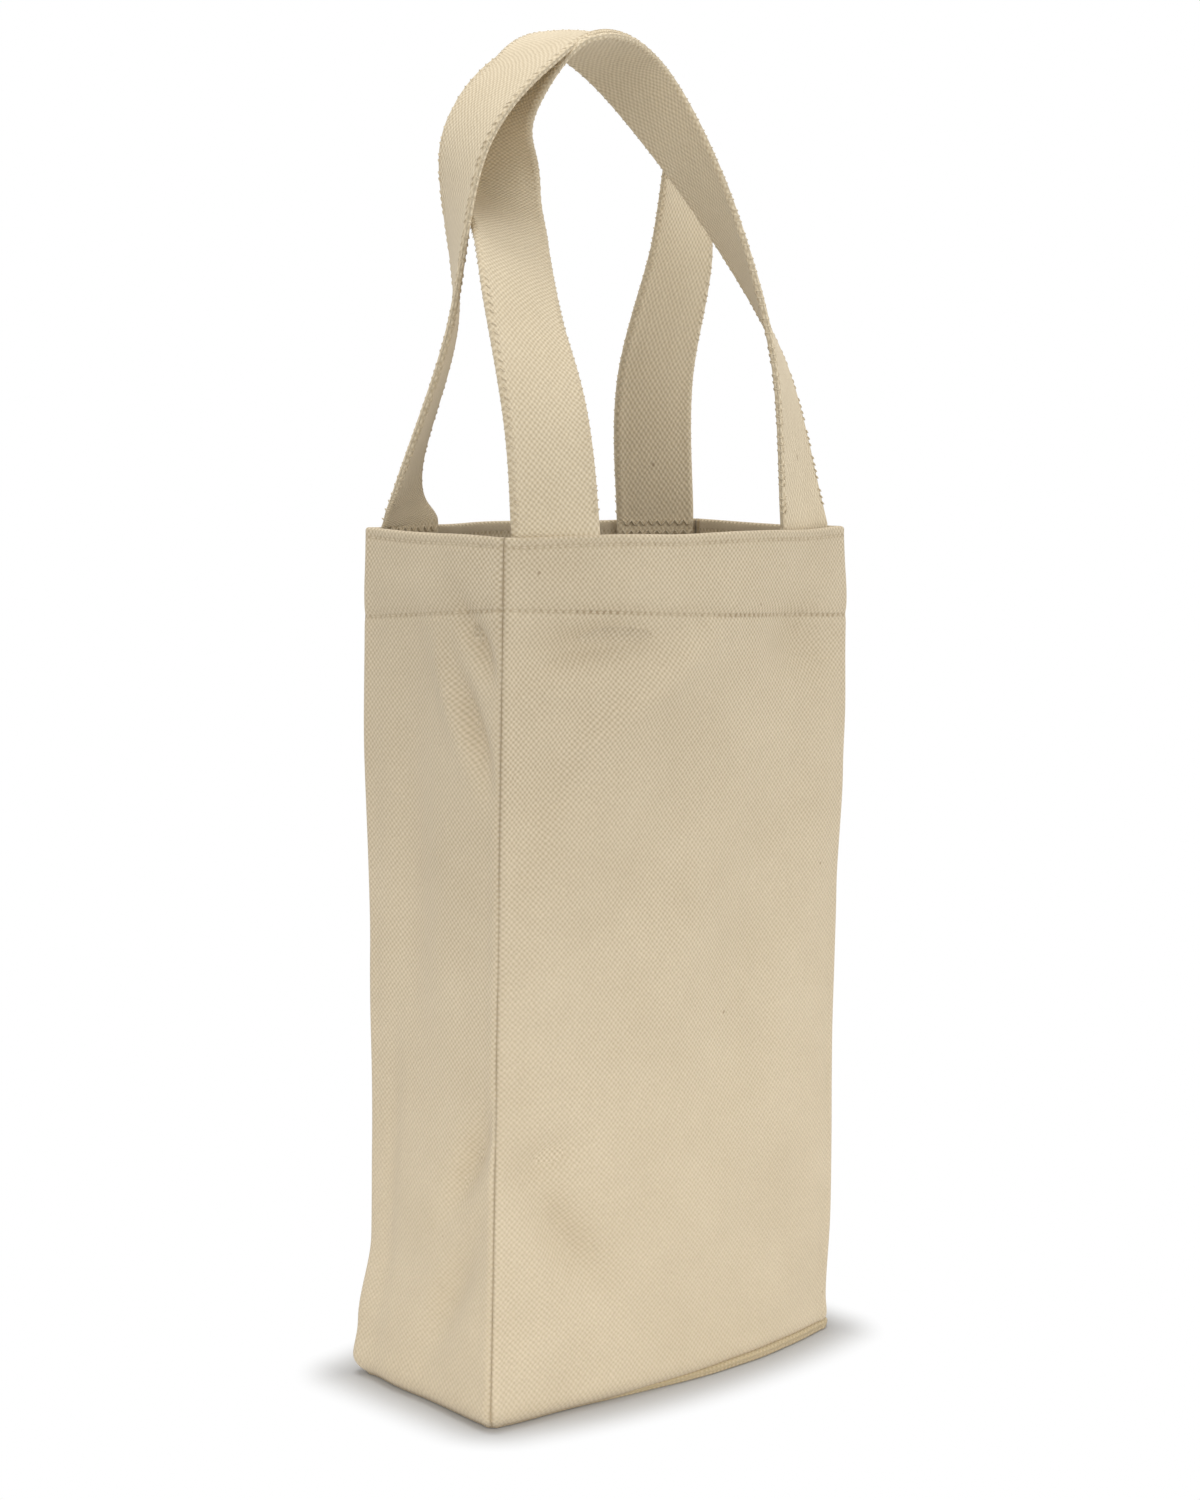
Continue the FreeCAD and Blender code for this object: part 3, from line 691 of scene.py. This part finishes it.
def strapPoint(name, path, run, turn):
    place = run * (len(path) - 1)
    low = min(int(place), len(path) - 2)
    centre, ahead, wide, face = (mixed(p, q, place - low) for p, q in zip(path[low], path[low + 1]))
    across, thick = strapSection(turn)
    seed = strap["seeds"][name]
    lift = strap["wave"] * ripple(run * strap["length"], across * 0.5, strap["waveSize"], seed)
    lift *= eased(*strap["waveFrom"], centre.z) * (1 - eased(*strap["waveTo"], centre.z))
    cup = hemCup(across) * (1 - eased(*strap["cupEnds"], centre.z))
    return centre + wide * across + face * (thick + lift) - Vector((0, outward[name] * cup, 0))


# the piece's place is baked into its mesh
def swing(piece, name):
    name + "_loop"
    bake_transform(piece)


def makeStrap(name):
    path = strapPath(name)

    def place(u, v):
        return strapPoint(name, path, u, v)

    def cloth(u, v):
        return (u * strap["length"] * mm, strapSection(v)[0] * mm + (0.1 if v < 0.5 else 0))

    bm = laidGrid(len(path) - 1, strap["around"], place, cloth)
    bmesh.ops.remove_doubles(bm, verts=bm.verts, dist=bag["weld"] * mm)
    bmesh.ops.holes_fill(bm, edges=[edge for edge in bm.edges if edge.is_boundary], sides=0)
    bmesh.ops.recalc_face_normals(bm, faces=bm.faces)
    piece = finishMesh(name + "_strap", bm, strapClothPaintedLighter)
    swing(piece, name)
    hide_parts(name + "_handle", name + "_handle_left_end", name + "_handle_right_end")
    return path


paths = {name: makeStrap(name) for name in outward}
print("straps")


# sewing

def stitchAt(centre, along, out, size):
    half, thick = size
    along = along.normalized()
    side = out.cross(along).normalized()
    turn = Matrix((along, side, along.cross(side))).transposed().to_4x4()
    return Matrix.Translation(centre * mm) @ turn @ Matrix.Diagonal((half, thick, thick, 1))


def sewn(name, stitches, node):
    bm = bmesh.new()
    around, rings = sewing["sphere"]
    for first in range(0, len(stitches), sewing["batch"]):
        batch = bmesh.new()
        for place in stitches[first:first + sewing["batch"]]:
            bmesh.ops.create_uvsphere(batch, u_segments=around, v_segments=rings, radius=mm, matrix=place)
        addTo(bm, batch)
    piece = finishMesh(name, bm, thread)
    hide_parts(node)
    return piece


def makeHemRow(label, drop, slanted):
    stitches = []
    for side in sideTurn:
        half = bag["length"][side] / 2
        count = int((half - sewing["hemEnd"]) / sewing["hemPitch"])
        for n in range(-count, count + 1):
            along = n * sewing["hemPitch"] / half
            z = bag["height"] - drop - slanted * hemSink(side, along)
            ahead = bagPoint(side, along + 0.008, z) - bagPoint(side, along - 0.008, z)
            out = sideOut(side, along, z)
            spot = bagPoint(side, along, z) - out * sewing["hemSunk"]
            stitches.append(stitchAt(spot, ahead, out, sewing["hemStitch"]))
    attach(sewn(label + "_thread", stitches, label + "_stitches"), "bag")


def makeSeam(label, side, end):
    stitches = []
    low, high = sewing["seamEnds"]
    along = end * (1 - 2 * sewing["seamInset"] / bag["length"][side])
    z = bag["floor"] + low
    while z < bag["height"] - high:
        out = sideOut(side, along, z)
        spot = bagPoint(side, along, z) - out * sewing["seamSunk"]
        stitches.append(stitchAt(spot, Vector((0, 0, 1)), out, sewing["seamStitch"]))
        z += sewing["seamPitch"]
    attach(sewn(label + "_thread", stitches, label + "_seam_stitches"), "bag")


def makeBaseSeam():
    stitches = []
    z = sewing["baseLevel"]
    for side, length in bag["length"].items():
        count = int((length - sewing["baseEnd"]) / sewing["basePitch"])
        for n in range(count + 1):
            along = (2 * n / count - 1) * (1 - sewing["baseEnd"] / length)
            out = sideOut(side, along, z)
            ahead = bagPoint(side, along + 0.01, z) - bagPoint(side, along - 0.01, z)
            spot = bagPoint(side, along, z, sewing["baseSunk"])
            stitches.append(stitchAt(spot, ahead, out, sewing["baseStitch"]))
    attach(sewn("base_seam_thread", stitches, "base_seam_stitches"), "bag")


# zigzag rows that hold one end of a strap
def makeTack(label, name, path):
    out = Vector((0, -outward[name], 0))
    level, upright = sewing["tackSlant"]
    stitches = []
    for drop in sewing["tackDrops"]:
        z = bag["height"] - drop
        centre, ahead, wide, face = min(path, key=lambda spot: abs(spot[0].z - z))
        for n in range(sewing["tackCount"]):
            across = sewing["tackStart"] + sewing["tackPitch"] * n
            lean = Vector((wide.x * level, wide.y * level, upright if n % 2 else -upright))
            proud = strap["ply"] / 2 + sewing["tackProud"] + hemCup(across)
            spot = centre + wide * across + out * proud
            stitches.append(stitchAt(Vector((spot.x, spot.y, z)), lean, out, sewing["tackStitch"]))
    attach(sewn(label + "_thread", stitches, label + "_stitches"), "bag")


# slanting stitches that close the rolled edges of a strap, and show on its faces
def makeEdgeRow(name):
    stitches = []
    path = paths[name]
    half = strap["width"] / 2
    skip = strap["tailSteps"] + 2
    through, onward = sewing["edgeSlant"]
    aside, ahead = sewing["faceSlant"]
    travelled = 0.0
    for n in range(skip, len(path) - skip):
        travelled += (path[n][0] - path[n - 1][0]).length
        if travelled < sewing["edgePitch"]:
            continue
        travelled -= sewing["edgePitch"]
        centre, run, wide, face = path[n]
        for edge in (-1, 1):
            rim = centre + wide * edge * (half - sewing["edgeInset"])
            stitches.append(stitchAt(rim, face * through + run * onward, wide * edge, sewing["edgeStitch"]))
            for over in (-1, 1):
                proud = strap["ply"] / 2 + sewing["faceProud"]
                spot = centre + wide * edge * (half - sewing["faceInset"]) + face * over * proud
                slant = wide * edge * aside + run * over * ahead
                stitches.append(stitchAt(spot, slant, face * over, sewing["faceStitch"]))
    swing(sewn(name + "_strap_thread", stitches, name + "_handle_stitches"), name)


makeHemRow("hem_upper", sewing["hemDrops"][0], 0)
makeHemRow("hem_lower", sewing["hemDrops"][1], 1)
makeSeam("front_left", "front", -1)
makeSeam("front_right", "front", 1)
makeSeam("back_left", "left", -1)
makeSeam("back_right", "back", -1)
makeBaseSeam()
for name, path in paths.items():
    makeTack(name + "_left_tack", name, path[:strap["tailSteps"] + 1])
    makeTack(name + "_right_tack", name, path[-strap["tailSteps"] - 1:])
for name in paths:
    makeEdgeRow(name)
print("sewing")


# studio: pale floor, soft light and the camera

studio = {
    # the floor as the camera sees it near the foot, darker than what it gives back so that it paints shadow
    # there, what it gives back to the bag, its size and how far the real and painted shadow reaches
    "floor": (0.54, 0.54, 0.54, 1), "bounce": (0.75, 0.75, 0.75, 1), "floorSize": 6.0, "shadow": 26,
    "sky": 0.67,
    # name, place, aim, width, height, power, spread
    "lamps": (
        ("broad_soft_light", (-1.7, -0.9, 1.1), (0, 0, 0.2), 0.9, 0.9, 7.5, 180),
        ("right_fill", (1.4, -1.3, 0.6), (0, 0, 0.15), 0.8, 0.8, 10.5, 180),
        ("top_light", (-0.1, 0.1, 1.6), (0, 0, 0), 0.9, 0.9, 10.0, 180),
        ("low_front", (-0.20, -0.55, 0.05), (0.02, 0, 0.02), 0.6, 0.06, 0.14, 60),
        ("low_left", (-0.60, -0.02, 0.05), (0, 0, 0.02), 0.5, 0.06, 0.07, 60),
        ("low_back", (0.40, 0.50, 0.04), (0, 0, 0.05), 0.6, 0.06, 0.5, 180),
    ),
    # the camera, fitted to the photograph: place in millimetres, angles in degrees
    "eye": (-697.28, -759.96, 351.55), "azimuth": -42.417, "elevation": 7.030, "roll": 0.752,
    "lens": 68.894, "sensor": 36.0, "clip": (0.01, 50),
}


# white to the camera, but close to the bag's foot it shows its real shadow on a darker floor colour, which
# paints more shadow
def floorFinish():
    pale = Finish("pale_floor")
    seen = pale.seen()
    pale.feed(Base_Color=pale.colours(seen, studio["bounce"], studio["floor"]))
    pale.feed(Roughness=0.9, Specular_IOR_Level=0.0)
    glow = pale.node("ShaderNodeEmission", Color=(1, 1, 1, 1), Strength=1.0)
    x = pale.node("ShaderNodeSeparateXYZ", Vector=pale.node("ShaderNodeTexCoord", output="Object"))
    y = x.beside(1)
    wide, deep, bow = (bag[key][0] * mm for key in ("halfWidth", "halfDepth", "bow"))
    across = (x.maths("ABSOLUTE") - wide).maths("MAXIMUM", 0.0)
    through = (y.maths("ABSOLUTE") - deep + (x * x * (1 / wide ** 2) - 1) * bow).maths("MAXIMUM", 0.0)
    off = (across * across + through * through).maths("SQRT")
    # painted shadow: near the foot the camera sees the darker floor colour, which fades into white glow over
    # the shadow's reach
    wash = pale.ranged(off, 0.0, studio["shadow"] * mm, 0.0, 1.0, {"interpolation_type": "SMOOTHSTEP"})
    plain = Wire(pale.tree, pale.shader.outputs[0])
    surface = pale.node("ShaderNodeMixShader", i0=seen * wash, i1=plain, i2=glow)
    plug(pale.tree, surface, pale.tree.nodes["Material Output"].inputs["Surface"])
    return pale.material


def makeFloor():
    bm = bmesh.new()
    bmesh.ops.create_grid(bm, x_segments=1, y_segments=1, size=studio["floorSize"])
    mesh = bpy.data.meshes.new("floor")
    bm.to_mesh(mesh)
    bm.free()
    mesh.materials.append(floorFinish())
    floor = bpy.data.objects.new("floor", mesh)
    bpy.context.scene.collection.objects.link(floor)


def makeWorld():
    world = bpy.data.worlds.new("studio")
    bpy.context.scene.world = world
    world.use_nodes = True
    nodes = Nodes(world.node_tree)
    back = nodes.tree.nodes["Background"]
    plug(nodes.tree, (1, 1, 1, 1), back.inputs["Color"])
    plug(nodes.tree, nodes.seen() * (1 - studio["sky"]) + studio["sky"], back.inputs["Strength"])


def makeLamps():
    for name, place, aim, width, height, power, spread in studio["lamps"]:
        lamp = bpy.data.lights.new(name, "AREA")
        lamp.shape = "RECTANGLE"
        lamp.size = width
        lamp.size_y = height
        lamp.energy = power
        lamp.spread = math.radians(spread)
        holder = bpy.data.objects.new(name, lamp)
        holder.location = place
        holder.rotation_euler = (Vector(aim) - Vector(place)).to_track_quat("-Z", "Y").to_euler()
        holder.visible_camera = False
        bpy.context.scene.collection.objects.link(holder)


def makeCamera():
    azimuth, elevation, roll = (math.radians(studio[key]) for key in ("azimuth", "elevation", "roll"))
    level = math.cos(elevation)
    back = Vector((math.sin(azimuth) * level, -math.cos(azimuth) * level, math.sin(elevation)))
    right = Vector((math.cos(azimuth), math.sin(azimuth), 0))
    up = back.cross(right)
    across = right * math.cos(roll) + up * math.sin(roll)
    above = up * math.cos(roll) - right * math.sin(roll)
    lens = bpy.data.cameras.new("camera")
    lens.lens = studio["lens"]
    lens.sensor_width = studio["sensor"]
    lens.sensor_fit = "AUTO"
    lens.clip_start, lens.clip_end = studio["clip"]
    holder = bpy.data.objects.new("camera", lens)
    place = Matrix((across, above, back)).transposed().to_4x4()
    place.translation = Vector(studio["eye"]) * mm
    holder.matrix_world = place
    bpy.context.scene.collection.objects.link(holder)
    bpy.context.scene.camera = holder


makeFloor()
makeWorld()
makeLamps()
makeCamera()
bpy.context.scene.view_settings.view_transform = "Standard"
print("studio")

bpy.context.view_layer.update()
